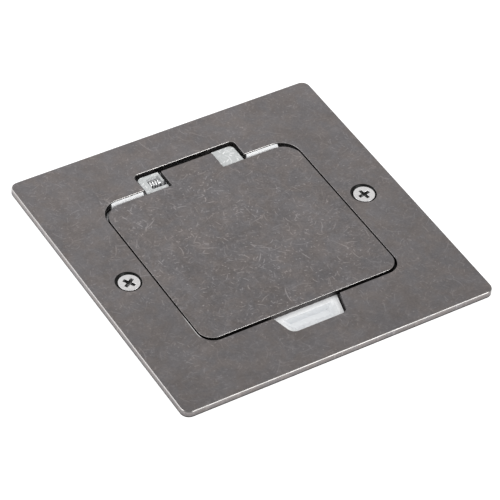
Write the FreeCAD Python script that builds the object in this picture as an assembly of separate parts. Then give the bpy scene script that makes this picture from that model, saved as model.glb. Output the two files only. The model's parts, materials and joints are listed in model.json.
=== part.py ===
import FreeCAD, Part
import math
import os

# Flush floor socket: a metal cover plate with a sprung flip lid, over a moulded 13 A socket in a sunk box.
# Millimetres. X runs along the hinge, +Y points to the hinge, +Z up. The origin is the plate's centre at
# floor level, which is the underside of the cover plate.

# Cover plate
plate_side = 120.0
plate_thick = 2.5
plate_corner = 3.0
plate_edge_chamfer = 0.25
opening_edge_chamfer = 0.12

# Flip lid, with the tongue that reaches back over the hinge
lid_width = 76.2
lid_front = -35.55
lid_back = 34.2
lid_thick = 2.0
lid_corner = 7.0
lid_edge_chamfer = 0.18
tongue_width = 20.6
tongue_corner = 0.6
lid_side_gap = 0.45
lid_front_gap = 1.2
lid_back_gap = 2.1

# Hinge
pin_radius = 1.0
pin_running_gap = 0.05
pin_behind_lid = 5.8
pin_below_lid = 1.0
tongue_past_pin = 2.2
tongue_sweep_gap = 0.58
knuckle_radius = 2.0
leaf_thick = 1.6
leaf_length = 16.0
leaf_front_width = 15.0
leaf_corner = 3.0
stud_radius = 1.2
stud_proud = 0.6
stud_spacing = 9.0
stud_from_leaf_front = 4.0
hole_gap = 0.1

# Hinge lugs of the carrier, seen in the notch on each side of the tongue
lug_width = 8.6
lug_gap = 0.4
lug_top_drop = 1.2
lug_before_pin = 5.0
lug_behind_pin = 3.4
lug_corner = 1.8
notch_gap = 0.8
notch_corner = 1.8

# Closing spring in the left lug
spring_wire = 0.6
spring_pitch = 1.0
spring_whole_turns = 3
spring_pin_gap = 0.1
spring_window_gap = 0.25
spring_cheek = 0.8
spring_hook_before_pin = 2.8
spring_hook_above_pin = 0.2
spring_hook_depth = 1.8
spring_foot_length = 3.6
spring_foot_slot = 1.2

# Finger notch at the front of the plate and the dish in the carrier under it
finger_mouth_width = 26.0
finger_tip_width = 21.4
finger_depth = 8.5
finger_corner = 3.0
finger_boss_gap = 0.55
dish_inset = 2.3
dish_ledge = 0.8
dish_tip_rim = 1.2
dish_depth = 2.2
dish_side_slope = 2.4
dish_back_slope = 0.8
dish_front_slope = 3.2
dish_corner = 1.0

# Carrier frame: the white moulding that holds the hinge, the lid's seat and the socket
gasket_thick = 1.0
gasket_lip = 1.0
gasket_margin = 0.4
flange_thick = 2.0
seat_inset = 1.4
seat_wall = 1.8
well_depth = 6.5
rib_past_corner = 2.3
rib_lid_gap = 0.45
rib_plate_gap = 0.15
rib_slope = 1.4
rib_crest = 0.3
rib_top_drop = 0.2
rib_from_notch = 0.6
housing_wall = 1.3
trough_gap = 0.5
carrier_rim_inset = 0.2
catch_width = 12.0
catch_thick = 1.8
catch_bite = 1.2
catch_nose = 2.0
catch_lead = 0.8

# Sunk steel box
box_beyond_screw = 5.5
box_depth = 47.0
box_wall = 1.2
box_corner = 6.0
box_base_chamfer = 2.0
knockout_radius = 10.0
knockout_press = 0.5
knockout_below_rim = 26.0
knockout_offset = 25.0
base_hole_radius = 2.5
base_hole_spacing = 60.0

# Plate screws, M4 countersunk, and the tapped lugs that they screw into
screw_beyond_lid = 8.4
screw_radius = 2.0
screw_length = 16.0
screw_head_radius = 3.8
screw_head_rim = 0.4
screw_head_drop = 0.3
countersink_radius = 4.5
screw_clearance = 0.2
screw_slot_length = 9.0
thread_gap = 0.05
recess_length = 4.6
recess_width = 1.25
recess_depth = 1.6
recess_foot_length = 3.2
recess_foot_width = 0.95
recess_turns = (32.0, 10.0)
tab_width = 16.0
tab_thick = 2.0
tab_leg = 12.0

# Socket mouldings
socket_margin = 5.0
socket_top_thick = 2.6
socket_wall = 1.8
socket_front_depth = 18.0
socket_back_thick = 2.4
case_screw_x = 24.0
case_screw_from_middle = 15.0
case_screw_length = 12.0
case_screw_radius = 1.4
case_screw_head = 2.6
case_screw_head_height = 1.8
case_boss_side = 6.0

# Pin apertures of a 13 A socket
pin_spacing = 22.23
power_slot_long = 7.4
power_slot_short = 5.0
earth_slot_long = 9.0
earth_slot_short = 5.0
slot_lead_in = 0.6

# Shutter and its return spring
shutter_drop = 0.6
shutter_thick = 2.8
shutter_tip_thick = 0.6
shutter_stroke = 6.0
shutter_stem_width = 10.0
shutter_bar_length = 32.0
shutter_cover = 0.6
shutter_guide_gap = 0.3
guide_wall = 1.5
return_wire = 0.4
return_coil_radius = 1.6
return_turns = 5
return_peg_radius = 1.2
return_peg_length = 3.0
return_end_gap = 0.3
stop_wall = 1.6

# Contacts, terminals and the wells that hold them
leaf_spring_thick = 0.6
clip_opening = 4.4
clip_height = 9.0
clip_lead = 0.8
clip_flare = 0.3
tower_wall = 1.3
tower_gap = 0.3
tower_shutter_gap = 0.3
strap_width = 5.0
strap_thick = 0.8
terminal_side = 7.6
terminal_drop = 9.0
terminal_wall = 1.3
terminal_gap = 0.2
terminal_reach = 13.0
wire_hole_radius = 1.9
terminal_wire_depth = 4.0
grub_screw_radius = 1.6
grub_slot_width = 0.6
grub_slot_depth = 0.7

# Cable bush in the box's back wall and the earth block on its base
grommet_bore_radius = 6.5
grommet_wall = 1.7
grommet_head_across = 21.0
grommet_head_thick = 2.5
grommet_reach = 3.0
earth_block_side = 9.0
earth_block_height = 9.0
earth_block_x = -36.0
earth_block_y = -30.0
earth_wire_height = 3.0

# A coiled wire is light: this many flats to a turn of the coil, and this many round the wire
coil_flats = 10
wire_flats = 5

# How far a cutting tool passes the face that it opens
past = 1.0

# Levels, from the top down
lid_top = plate_thick
lid_bottom = lid_top - lid_thick
pin_z = lid_bottom - pin_below_lid
gasket_bottom = -gasket_thick
flange_top = gasket_bottom
flange_bottom = flange_top - flange_thick
face_z = lid_bottom - well_depth
socket_top_bottom = face_z - socket_top_thick
socket_front_bottom = face_z - socket_front_depth
socket_back_bottom = socket_front_bottom - socket_back_thick
box_rim = flange_bottom
box_bottom = box_rim - box_depth
lug_top = plate_thick - lug_top_drop
shutter_top = socket_top_bottom - shutter_drop
shutter_bottom = shutter_top - shutter_thick
tower_top = shutter_bottom - tower_shutter_gap
terminal_bottom = socket_back_bottom - terminal_drop

# Places along Y
pin_y = lid_back + pin_behind_lid
tongue_back = pin_y + tongue_past_pin
tongue_sweep = math.hypot(tongue_past_pin, lid_top - pin_z)
notch_back = pin_y + tongue_sweep + tongue_sweep_gap
aperture_front = lid_front - lid_front_gap
aperture_back = lid_back + lid_back_gap
finger_front = aperture_front - finger_depth
seat_front = lid_front + seat_inset
seat_back = lid_back - seat_inset
well_front = seat_front + seat_wall
well_back = seat_back - seat_wall
socket_middle = (well_front + well_back) / 2
earth_y = socket_middle + pin_spacing / 2
power_y = socket_middle - pin_spacing / 2
power_x = pin_spacing / 2
lug_front = pin_y - lug_before_pin
lug_back = pin_y + lug_behind_pin

# Half widths along X
aperture_half = lid_width / 2 + lid_side_gap
aperture_corner = lid_corner + lid_side_gap
tongue_half = tongue_width / 2
lug_inner = tongue_half + lug_gap
lug_outer = lug_inner + lug_width
notch_half = lug_outer + notch_gap
seat_half = lid_width / 2 - seat_inset
well_half = seat_half - seat_wall
screw_x = lid_width / 2 + screw_beyond_lid
box_side = 2 * (screw_x + box_beyond_screw)
box_inner_half = box_side / 2 - box_wall
socket_half = seat_half - socket_margin
socket_shell_front = seat_front + socket_margin
socket_shell_back = seat_back - socket_margin

# Coil of the closing spring, in the window of the left lug
coil_radius = pin_radius + spring_pin_gap + spring_wire / 2
coil_outer = coil_radius + spring_wire / 2
window_right = -(lug_inner + spring_cheek)
coil_right = window_right - spring_window_gap - spring_wire / 2
hook_distance = math.hypot(spring_hook_before_pin, spring_hook_above_pin)
hook_angle = math.pi - math.atan2(spring_hook_above_pin, spring_hook_before_pin)
leave_angle = hook_angle + math.acos(coil_radius / hook_distance)
coil_turns = spring_whole_turns + (3 * math.pi - leave_angle) / (2 * math.pi)
coil_left = coil_right - coil_turns * spring_pitch
window_left = coil_left - spring_wire / 2 - spring_window_gap


def point(x, y, z):
    return FreeCAD.Vector(x, y, z)


def block(x0, x1, y0, y1, z0, z1):
    return Part.makeBox(x1 - x0, y1 - y0, z1 - z0, point(x0, y0, z0))


def upright_rod(x, y, z0, z1, radius):
    return Part.makeCylinder(radius, z1 - z0, point(x, y, z0))


def rod_along_x(x0, x1, y, z, radius):
    return Part.makeCylinder(radius, x1 - x0, point(x0, y, z), point(1, 0, 0))


def rod_along_y(x, y0, y1, z, radius):
    return Part.makeCylinder(radius, y1 - y0, point(x, y0, z), point(0, 1, 0))


def rounded_outline(corners, radii):
    """A closed outline at z = 0 through the corners, each rounded by its own radius."""
    bends = []
    for i, here_xy in enumerate(corners):
        here = point(*here_xy, 0)
        to_last = (point(*corners[i - 1], 0) - here).normalize()
        to_next = (point(*corners[(i + 1) % len(corners)], 0) - here).normalize()
        half_angle = to_last.getAngle(to_next) / 2
        cut = radii[i] / math.tan(half_angle)
        inward = (to_last + to_next).normalize() * (radii[i] / math.sin(half_angle) - radii[i])
        bends.append((here + to_last * cut, here + inward, here + to_next * cut))
    edges = []
    for i, (start, middle, end) in enumerate(bends):
        edges.append(Part.makeLine(bends[i - 1][2], start))
        if radii[i] > 0:
            edges.append(Part.Arc(start, middle, end).toShape())
    return Part.Wire(edges)


def rectangle(x0, x1, y0, y1, radius=0.0):
    return rounded_outline([(x0, y0), (x1, y0), (x1, y1), (x0, y1)], [radius] * 4)


def centred_rectangle(length, width):
    return rectangle(-length / 2, length / 2, -width / 2, width / 2)


def prism(outline, z0, z1):
    face = Part.Face(outline)
    face.translate(point(0, 0, z0))
    return face.extrude(point(0, 0, z1 - z0))


def edges_at(shape, level):
    tolerance = 1e-4
    flat = []
    for edge in shape.Edges:
        if abs(edge.BoundBox.ZMin - level) < tolerance and abs(edge.BoundBox.ZMax - level) < tolerance:
            flat.append(edge)
    return flat


def is_outer(edge):
    """Whether an edge of the cover plate runs along its outside rather than round one of its openings."""
    box = edge.BoundBox
    return max(-box.XMin, box.XMax, -box.YMin, box.YMax) > screw_x + countersink_radius


def finger_corners(inset, back_y, front_y):
    """The finger notch's tapered shape, made narrower by the inset, between two places along Y."""
    taper = (finger_mouth_width - finger_tip_width) / 2 / finger_depth
    back_half = finger_mouth_width / 2 - inset + taper * (back_y - aperture_front)
    front_half = finger_mouth_width / 2 - inset + taper * (front_y - aperture_front)
    return [(-back_half, back_y), (-front_half, front_y), (front_half, front_y), (back_half, back_y)]


def finger_outline(inset, back_y, front_y, radius):
    return rounded_outline(finger_corners(inset, back_y, front_y), [0, radius, radius, 0])


def aperture_cut(z0, z1, lip=0.0):
    """What the lid's opening takes out of the plate, or with a lip, out of the gasket."""
    front = aperture_front + lip
    half = aperture_half - lip
    return prism(rectangle(-half, half, front, aperture_back, aperture_corner - lip), z0, z1)


def hinge_notch_cut(z0, z1, grow=0.0):
    start = aperture_back - aperture_corner
    outline = rectangle(-notch_half - grow, notch_half + grow, start, notch_back + grow, notch_corner)
    lower = block(-notch_half - grow, notch_half + grow, start, aperture_back, z0, z1)
    return prism(outline, z0, z1).fuse(lower)


def screw_slots(z0, z1):
    """Slots for the plate's screws, long across the plate, so that it can be turned square to the room."""
    width = 2 * (screw_radius + screw_clearance)
    slots = []
    for x in (-screw_x, screw_x):
        slot = prism(centred_rectangle(width, screw_slot_length), z0, z1)
        slot.translate(point(x, 0, 0))
        slots.append(slot)
    return Part.makeCompound(slots)


def make_cover_plate():
    half = plate_side / 2
    plate = prism(rectangle(-half, half, -half, half, plate_corner), 0, plate_thick)
    plate = plate.cut(aperture_cut(-past, plate_thick + past))
    plate = plate.cut(hinge_notch_cut(-past, plate_thick + past))
    notch = finger_outline(0, aperture_front + past, finger_front, finger_corner)
    plate = plate.cut(prism(notch, -past, plate_thick + past)).removeSplitter()
    inner_edges = [edge for edge in edges_at(plate, plate_thick) if not is_outer(edge)]
    plate = plate.makeChamfer(opening_edge_chamfer, inner_edges)
    outer_edges = [edge for edge in edges_at(plate, plate_thick) if is_outer(edge)]
    plate = plate.makeChamfer(plate_edge_chamfer, outer_edges)
    for x in (-screw_x, screw_x):
        hole_radius = screw_radius + screw_clearance
        plate = plate.cut(Part.makeCone(hole_radius, countersink_radius, plate_thick, point(x, 0, 0)))
    return plate


def cross_recess(x, z, turn):
    """A cross recess cut down from z, narrower at its foot."""
    arms = []
    for angle in (0, 90):
        top = centred_rectangle(recess_length, recess_width)
        foot = centred_rectangle(recess_foot_length, recess_foot_width)
        foot.translate(point(0, 0, -recess_depth))
        arm = Part.makeLoft([top, foot], True)
        arm.rotate(point(0, 0, 0), point(0, 0, 1), angle + turn)
        arm.translate(point(x, 0, z))
        arms.append(arm)
    return arms[0].fuse(arms[1])


def make_plate_screws():
    screws = []
    head_top = plate_thick - screw_head_drop
    cone_height = screw_head_radius - screw_radius
    rim_bottom = head_top - screw_head_rim
    shank_top = rim_bottom - cone_height
    for x, turn in zip((-screw_x, screw_x), recess_turns):
        rim = upright_rod(x, 0, rim_bottom, head_top, screw_head_radius)
        head = Part.makeCone(screw_radius, screw_head_radius, cone_height, point(x, 0, shank_top))
        shank = upright_rod(x, 0, head_top - screw_length, shank_top, screw_radius)
        screw = head.multiFuse([rim, shank])
        screws.append(screw.cut(cross_recess(x, head_top, turn)).removeSplitter())
    return Part.makeCompound(screws)


def make_plate_gasket():
    half = box_inner_half - gasket_margin
    gasket = block(-half, half, -half, half, gasket_bottom, 0)
    gasket = gasket.cut(aperture_cut(gasket_bottom - past, past, gasket_lip))
    gasket = gasket.cut(hinge_notch_cut(gasket_bottom - past, past, gasket_margin))
    notch = finger_outline(0, aperture_front + gasket_lip + past, finger_front, finger_corner)
    gasket = gasket.cut(prism(notch, gasket_bottom - past, past))
    return gasket.cut(screw_slots(gasket_bottom - past, past)).removeSplitter()


def make_lid_plate():
    half = lid_width / 2
    lid = prism(rectangle(-half, half, lid_front, lid_back, lid_corner), lid_bottom, lid_top)
    corners = [(-tongue_half, lid_back - lid_corner), (tongue_half, lid_back - lid_corner)]
    corners += [(tongue_half, tongue_back), (-tongue_half, tongue_back)]
    tongue = prism(rounded_outline(corners, [0, 0, tongue_corner, tongue_corner]), lid_bottom, lid_top)
    lid = lid.fuse(tongue).removeSplitter()
    return lid.makeChamfer(lid_edge_chamfer, edges_at(lid, lid_top))


def stud_places():
    y = pin_y - leaf_length + stud_from_leaf_front
    return [(-stud_spacing / 2, y), (stud_spacing / 2, y)]


def make_lid_hinge_leaf():
    leaf_bottom = lid_bottom - leaf_thick
    front_half = leaf_front_width / 2
    leaf_front = pin_y - leaf_length
    corners = [(-front_half, leaf_front), (front_half, leaf_front), (tongue_half, pin_y - knuckle_radius)]
    corners += [(tongue_half, pin_y), (-tongue_half, pin_y), (-tongue_half, pin_y - knuckle_radius)]
    leaf = prism(rounded_outline(corners, [leaf_corner, leaf_corner, 0, 0, 0, 0]), leaf_bottom, lid_bottom)
    leaf = leaf.fuse(rod_along_x(-tongue_half, tongue_half, pin_y, pin_z, knuckle_radius))
    reach = lid_width / 2
    leaf = leaf.cut(block(-reach, reach, lid_front, pin_y + lid_width, lid_bottom, lid_top + past))
    leaf = leaf.cut(rod_along_x(-reach, reach, pin_y, pin_z, pin_radius + pin_running_gap))
    hook_y = pin_y - spring_hook_before_pin
    hook_z = pin_z + spring_hook_above_pin
    hook_end = -tongue_half + spring_hook_depth + hole_gap
    leaf = leaf.cut(rod_along_x(-reach, hook_end, hook_y, hook_z, spring_wire / 2 + hole_gap))
    for x, y in stud_places():
        leaf = leaf.cut(upright_rod(x, y, leaf_bottom - past, lid_bottom + past, stud_radius + hole_gap))
    return leaf.removeSplitter()


def make_lid_studs():
    foot = lid_bottom - leaf_thick - stud_proud
    return Part.makeCompound([upright_rod(x, y, foot, lid_bottom, stud_radius) for x, y in stud_places()])


def make_hinge_pin():
    end = lug_outer - lug_gap
    return rod_along_x(-end, end, pin_y, pin_z, pin_radius)


def wind(path, wire_radius):
    """Sweeps a wire along straight runs with mitred corners, so a long thin coil stays light."""
    start = path[0]
    direction = (path[1] - start).normalize()
    side = direction.cross(point(1, 1, 1)).normalize()
    up = direction.cross(side)
    corners = []
    flats = round(wire_flats)
    for step in range(flats + 1):
        angle = 2 * math.pi * step / flats
        across = side * math.cos(angle) + up * math.sin(angle)
        corners.append(start + across * wire_radius)
    section = Part.makePolygon(corners)
    mitred = 1
    return Part.makePolygon(path).makePipeShell([section], True, False, mitred)


def make_torsion_spring():
    """Its foot stands in the lug's slot, its coils turn round the pin, and its arm hooks into the leaf."""
    runs = round(coil_turns * coil_flats)
    path = [point(coil_left, pin_y - coil_radius, pin_z - spring_foot_length)]
    for step in range(runs + 1):
        turned = coil_turns * step / runs
        angle = math.pi - 2 * math.pi * turned
        y = pin_y + coil_radius * math.cos(angle)
        z = pin_z + coil_radius * math.sin(angle)
        path.append(point(coil_left + turned * spring_pitch, y, z))
    hook = point(coil_right, pin_y - spring_hook_before_pin, pin_z + spring_hook_above_pin)
    tip_length = -tongue_half + spring_hook_depth - coil_right
    path += [hook, hook + point(tip_length, 0, 0)]
    return wind(path, spring_wire / 2)


def make_catch(side):
    """A sprung arm beside the well, whose nose holds the socket's face plate from below."""
    outer = seat_half + catch_thick
    nose = seat_half - catch_bite
    foot = socket_top_bottom - catch_nose
    profile = [(seat_half, flange_bottom), (outer, flange_bottom), (outer, foot), (seat_half, foot)]
    profile += [(nose, foot + catch_lead), (nose, socket_top_bottom), (seat_half, socket_top_bottom)]
    corners = [point(side * across, -catch_width / 2, z) for across, z in profile + profile[:1]]
    return Part.Face(Part.makePolygon(corners)).extrude(point(0, catch_width, 0))


def make_lug(side):
    inner = side * lug_inner
    outer = side * lug_outer
    corners = [(inner, lug_front), (outer, lug_front), (outer, lug_back), (inner, lug_back)]
    return prism(rounded_outline(corners, [0, 0, lug_corner, 0]), flange_bottom, lug_top)


def make_rib(side):
    """A wedge between the plate and the lid's back edge, which fills the gap beside the hinge."""
    x0 = notch_half + rib_from_notch
    x1 = aperture_half - aperture_corner + rib_past_corner
    back = aperture_back - rib_plate_gap
    front = lid_back + rib_lid_gap
    top = plate_thick - rib_top_drop
    profile = [(back, flange_bottom), (front, flange_bottom), (front, top - rib_slope)]
    profile += [(back - rib_crest, top), (back, top)]
    corners = [point(side * x0, y, z) for y, z in profile + profile[:1]]
    rib = Part.Face(Part.makePolygon(corners)).extrude(point(side * (x1 - x0), 0, 0))
    half = aperture_half - rib_plate_gap
    room = rectangle(-half, half, aperture_front, back, aperture_corner - rib_plate_gap)
    return rib.common(prism(room, flange_bottom, plate_thick))


def cut_outline(corners, cut, z):
    """A closed outline at z with its corners cut off straight, this far from each corner."""
    ends = []
    for i, here_xy in enumerate(corners):
        here = point(*here_xy, z)
        for other_xy in (corners[i - 1], corners[(i + 1) % len(corners)]):
            ends.append(here + (point(*other_xy, z) - here).normalize() * cut)
    return Part.makePolygon(ends + ends[:1])


def make_dish():
    """The hollow under the lid's front edge, which rises gently to its front."""
    back_y = aperture_front - dish_ledge
    front_y = finger_front + dish_tip_rim
    rim_corners = finger_corners(dish_inset, back_y, front_y)
    floor_inset = dish_inset + dish_side_slope
    floor_corners = finger_corners(floor_inset, back_y - dish_back_slope, front_y + dish_front_slope)
    rim = cut_outline(rim_corners, dish_corner, lid_bottom)
    floor = cut_outline(floor_corners, dish_corner, lid_bottom - dish_depth)
    return Part.makeLoft([rim, floor], True)


def make_carrier_frame():
    half = box_side / 2 - carrier_rim_inset
    frame = prism(rectangle(-half, half, -half, half, box_corner), flange_bottom, flange_top)
    seat_corner = lid_corner - seat_inset
    seat = prism(rectangle(-seat_half, seat_half, seat_front, seat_back, seat_corner), face_z, lid_bottom)
    trough_floor = pin_z - tongue_sweep - trough_gap
    housing_half = lug_outer + housing_wall
    housing_bottom = trough_floor - housing_wall
    housing_back = notch_back + housing_wall
    housing = block(-housing_half, housing_half, seat_back, housing_back, housing_bottom, flange_top)
    boss_front = finger_front + finger_boss_gap
    boss_corner = finger_corner - finger_boss_gap
    boss_outline = finger_outline(finger_boss_gap, well_front, boss_front, boss_corner)
    finger_boss = prism(boss_outline, flange_bottom, lid_bottom)
    pieces = [seat, housing, finger_boss]
    for side in (-1, 1):
        pieces.append(make_lug(side))
        pieces.append(make_rib(side))
        pieces.append(make_catch(side))
    frame = frame.multiFuse(pieces)

    well_outline = rectangle(-well_half, well_half, well_front, well_back, seat_corner - seat_wall)
    well = prism(well_outline, face_z - past, lid_top)
    trough = block(-lug_inner, lug_inner, well_back - past, notch_back, trough_floor, lid_top)
    window_reach = coil_outer + spring_window_gap
    window_floor = pin_z - window_reach
    window_places = (window_left, window_right, pin_y - window_reach, pin_y + window_reach)
    window = block(*window_places, window_floor, lid_top)
    hook_front = pin_y - spring_hook_before_pin - spring_wire
    hook_slot = block(window_left, past - lug_inner, hook_front, pin_y - coil_radius, window_floor, lid_top)
    foot_front = pin_y - coil_outer
    foot_back = foot_front + spring_foot_slot
    foot_floor = pin_z - spring_foot_length - spring_window_gap
    foot_slot = block(window_left, window_left + spring_foot_slot, foot_front, foot_back, foot_floor, pin_z)
    frame = frame.cut(well).cut(trough).cut(window).cut(hook_slot).cut(foot_slot).cut(make_dish())
    frame = frame.cut(rod_along_x(-lug_outer, lug_outer, pin_y, pin_z, pin_radius + pin_running_gap))
    return frame.cut(screw_slots(flange_bottom - past, flange_top + past)).removeSplitter()


def slot_cut(x, y, x_size, y_size):
    """A pin aperture through the socket's face, with a tapered lead-in at the top."""
    low = centred_rectangle(x_size, y_size)
    slot = prism(low, socket_top_bottom - past, face_z)
    slot.translate(point(x, y, 0))
    top = centred_rectangle(x_size + 2 * slot_lead_in, y_size + 2 * slot_lead_in)
    low.translate(point(x, y, face_z - slot_lead_in))
    top.translate(point(x, y, face_z))
    return slot.fuse(Part.makeLoft([low, top], True))


def case_screw_places():
    y = socket_middle + case_screw_from_middle
    return [(-case_screw_x, y), (case_screw_x, y)]


def shutter_front():
    return power_y - power_slot_short / 2 - shutter_cover


def make_socket_front():
    """The face moulding with its shell, the shutter's guides and stop, and the case screws' bosses."""
    top = block(-seat_half, seat_half, seat_front, seat_back, socket_top_bottom, face_z)
    shell_places = (-socket_half, socket_half, socket_shell_front, socket_shell_back)
    shell = block(*shell_places, socket_front_bottom, socket_top_bottom)
    inner_half = socket_half - socket_wall
    inner_front = socket_shell_front + socket_wall
    inner_back = socket_shell_back - socket_wall
    hollow_places = (-inner_half, inner_half, inner_front, inner_back)
    shell = shell.cut(block(*hollow_places, socket_front_bottom, socket_top_bottom))
    body = top.fuse(shell)
    guide_inner = shutter_stem_width / 2 + shutter_guide_gap
    guide_front = power_y + power_slot_short / 2 + shutter_cover + shutter_guide_gap
    guide_back = earth_y - earth_slot_long / 2 - shutter_cover
    for side in (-1, 1):
        low, high = sorted((side * guide_inner, side * (guide_inner + guide_wall)))
        body = body.fuse(block(low, high, guide_front, guide_back, shutter_bottom, socket_top_bottom))
    stop_half = return_coil_radius + return_wire + stop_wall
    stop_places = (-stop_half, stop_half, inner_front, inner_front + stop_wall)
    body = body.fuse(block(*stop_places, shutter_bottom, socket_top_bottom))
    screw_end = socket_front_bottom + case_screw_length
    pilot_radius = case_screw_radius + thread_gap
    boss_outline = centred_rectangle(case_boss_side, case_boss_side)
    for x, y in case_screw_places():
        boss = prism(boss_outline, socket_front_bottom, socket_top_bottom)
        boss.translate(point(x, y, 0))
        body = body.fuse(boss)
        body = body.cut(upright_rod(x, y, socket_front_bottom - past, screw_end, pilot_radius))
    for side in (-1, 1):
        body = body.cut(slot_cut(side * power_x, power_y, power_slot_long, power_slot_short))
    body = body.cut(slot_cut(0, earth_y, earth_slot_short, earth_slot_long))
    return body.removeSplitter()


def make_shutter():
    """A bar over the two power slots, on a stem whose sloped end the earth pin pushes forward."""
    bar_front = shutter_front()
    bar_back = power_y + power_slot_short / 2 + shutter_cover
    bar_half = shutter_bar_length / 2
    stem_half = shutter_stem_width / 2
    bar = block(-bar_half, bar_half, bar_front, bar_back, shutter_bottom, shutter_top)
    wedge_start = earth_y - earth_slot_long / 2 - shutter_cover
    wedge_end = wedge_start + shutter_stroke
    profile = Part.makePolygon([
        point(-stem_half, bar_back, shutter_bottom),
        point(-stem_half, wedge_end, shutter_bottom),
        point(-stem_half, wedge_end, shutter_bottom + shutter_tip_thick),
        point(-stem_half, wedge_start, shutter_top),
        point(-stem_half, bar_back, shutter_top),
        point(-stem_half, bar_back, shutter_bottom),
    ])
    stem = Part.Face(profile).extrude(point(shutter_stem_width, 0, 0))
    middle_z = (shutter_top + shutter_bottom) / 2
    peg = rod_along_y(0, bar_front - return_peg_length, bar_front, middle_z, return_peg_radius)
    return bar.multiFuse([stem, peg]).removeSplitter()


def make_shutter_spring():
    """A compression spring round the shutter's peg, between the stop and the shutter's bar."""
    end_gap = return_end_gap + return_wire / 2
    back_end = shutter_front() - end_gap
    length = back_end - (socket_shell_front + socket_wall + stop_wall + end_gap)
    middle_z = (shutter_top + shutter_bottom) / 2
    runs = round(return_turns * coil_flats)
    path = []
    for step in range(runs + 1):
        angle = 2 * math.pi * return_turns * step / runs
        x = return_coil_radius * math.cos(angle)
        z = middle_z + return_coil_radius * math.sin(angle)
        path.append(point(x, back_end - length * step / runs, z))
    return wind(path, return_wire / 2)


def clip_length(slot_long):
    return slot_long - 2 * slot_lead_in


def tower_inner(slot_long):
    """Half sizes of a tower's cavity, across and along the pin's long side."""
    across = clip_opening / 2 + leaf_spring_thick + tower_gap
    along = clip_length(slot_long) / 2 + tower_gap
    return across, along


def contact_places():
    """Each contact: its pin's place, whether the pin's long side runs along Y, and its terminal's X."""
    return {
        "live_contact": (power_x, power_y, False, power_x + terminal_reach),
        "neutral_contact": (-power_x, power_y, False, -power_x - terminal_reach),
        "earth_contact": (0.0, earth_y, True, -terminal_reach),
    }


def slot_long_of(name):
    return earth_slot_long if name == "earth_contact" else power_slot_long


def make_contact(name):
    """A sprung clip for the pin, joined by a strap to a terminal block with its wire and screw holes."""
    x, y, along_y, terminal_x = contact_places()[name]
    half_long = clip_length(slot_long_of(name)) / 2
    inner = clip_opening / 2
    outer = inner + leaf_spring_thick
    foot = socket_front_bottom
    strap_top = foot + strap_thick
    top = strap_top + clip_height
    lead = top - clip_lead
    right = [(outer, foot), (outer, lead), (outer + clip_flare, top), (inner + clip_flare, top)]
    right += [(inner, lead), (inner, strap_top)]
    outline = right + [(-across, z) for across, z in reversed(right)]
    channel = Part.makePolygon([point(across, -half_long, z) for across, z in outline + outline[:1]])
    clip = Part.Face(channel).extrude(point(0, 2 * half_long, 0))
    if not along_y:
        clip.rotate(point(0, 0, 0), point(0, 0, 1), 90)
    clip.translate(point(x, y, 0))
    low, high = sorted((x, terminal_x))
    strap = block(low, high, y - strap_width / 2, y + strap_width / 2, foot, strap_top)
    half = terminal_side / 2
    block_foot = terminal_bottom + terminal_wall
    terminal = block(terminal_x - half, terminal_x + half, y - half, y + half, block_foot, strap_top)
    wire_z = block_foot + terminal_wire_depth
    wire_hole = rod_along_y(terminal_x, y - terminal_side, y + terminal_side, wire_z, wire_hole_radius)
    screw_hole = upright_rod(terminal_x, y, block_foot - past, wire_z, grub_screw_radius + thread_gap)
    return clip.multiFuse([strap, terminal]).cut(wire_hole).cut(screw_hole).removeSplitter()


def make_grub_screw(x, y, slotted_end, far_end):
    """A headless screw along Z with a slot across one end."""
    into = 1 if far_end > slotted_end else -1
    screw = upright_rod(x, y, min(slotted_end, far_end), max(slotted_end, far_end), grub_screw_radius)
    outline = centred_rectangle(2 * grub_screw_radius, grub_slot_width)
    slot = prism(outline, slotted_end - into * past, slotted_end + into * grub_slot_depth)
    slot.translate(point(x, y, 0))
    return screw.cut(slot)


def make_terminal_screws():
    """Driven from below until they clamp the wire."""
    foot = terminal_bottom + terminal_wall
    end = foot + terminal_wire_depth - wire_hole_radius
    screws = []
    for x, y, along_y, terminal_x in contact_places().values():
        screws.append(make_grub_screw(terminal_x, y, foot, end))
    return Part.makeCompound(screws)


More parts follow.
